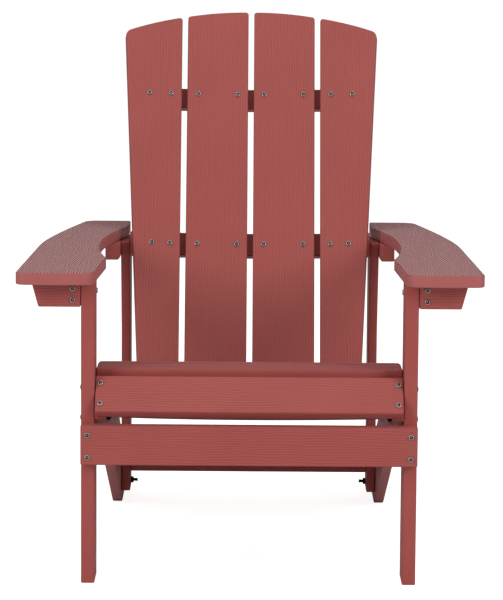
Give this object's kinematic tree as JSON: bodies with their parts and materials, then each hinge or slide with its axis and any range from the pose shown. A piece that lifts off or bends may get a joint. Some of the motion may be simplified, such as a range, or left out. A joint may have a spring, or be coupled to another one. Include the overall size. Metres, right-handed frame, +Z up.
{
  "type": "adirondack chair",
  "caption": "Low reclined garden armchair of red wood-grain boards: sloping slatted seat, arched fan back, broad flat arms and a solid bolted frame.",
  "frame": {"origin": "On the floor, under the middle of the chair's bounding box.", "axes": "+Z up. +X to the right as seen from in front of the chair. +Y from the front of the chair to its back, so the chair faces -Y."},
  "size_m": [0.7488, 0.846, 0.8975],
  "materials": {
    "lumber": "satin, with fine moulded wood grain",
    "steel": "satin stainless"
  },
  "bodies": {
    "root": {"apron": "lumber", "seat_front_slat": "lumber", "seat_slat_1": "lumber", "seat_slat_2": "lumber", "seat_slat_3": "lumber", "seat_slat_4": "lumber", "seat_slat_5": "lumber", "seat_slat_6": "lumber", "rear_stretcher": "lumber", "back_rail_lower": "lumber", "back_rail_middle": "lumber", "back_rail_upper": "lumber", "leg_left": "lumber", "stringer_left": "lumber", "upright_left": "lumber", "arm_bracket_left": "lumber", "front_cleat_left": "lumber", "rear_cleat_left": "lumber", "arm_left": "lumber", "back_slat_inner_left": "lumber", "back_slat_outer_left": "lumber", "leg_right": "lumber", "stringer_right": "lumber", "upright_right": "lumber", "arm_bracket_right": "lumber", "front_cleat_right": "lumber", "rear_cleat_right": "lumber", "arm_right": "lumber", "back_slat_inner_right": "lumber", "back_slat_outer_right": "lumber", "apron_screw_upper_left": "steel", "front_slat_screw_upper_left": "steel", "bracket_screw_upper_left": "steel", "leg_bolt_upper_left": "steel", "leg_bolt_upper_left_nut": "steel", "rear_bolt_upper_left": "steel", "rear_bolt_upper_left_nut": "steel", "apron_screw_lower_left": "steel", "front_slat_screw_lower_left": "steel", "bracket_screw_lower_left": "steel", "leg_bolt_lower_left": "steel", "leg_bolt_lower_left_nut": "steel", "rear_bolt_lower_left": "steel", "rear_bolt_lower_left_nut": "steel", "cleat_screw_left": "steel", "apron_screw_upper_right": "steel", "front_slat_screw_upper_right": "steel", "bracket_screw_upper_right": "steel", "leg_bolt_upper_right": "steel", "leg_bolt_upper_right_nut": "steel", "rear_bolt_upper_right": "steel", "rear_bolt_upper_right_nut": "steel", "apron_screw_lower_right": "steel", "front_slat_screw_lower_right": "steel", "bracket_screw_lower_right": "steel", "leg_bolt_lower_right": "steel", "leg_bolt_lower_right_nut": "steel", "rear_bolt_lower_right": "steel", "rear_bolt_lower_right_nut": "steel", "cleat_screw_right": "steel"}
  },
  "joints": []
}
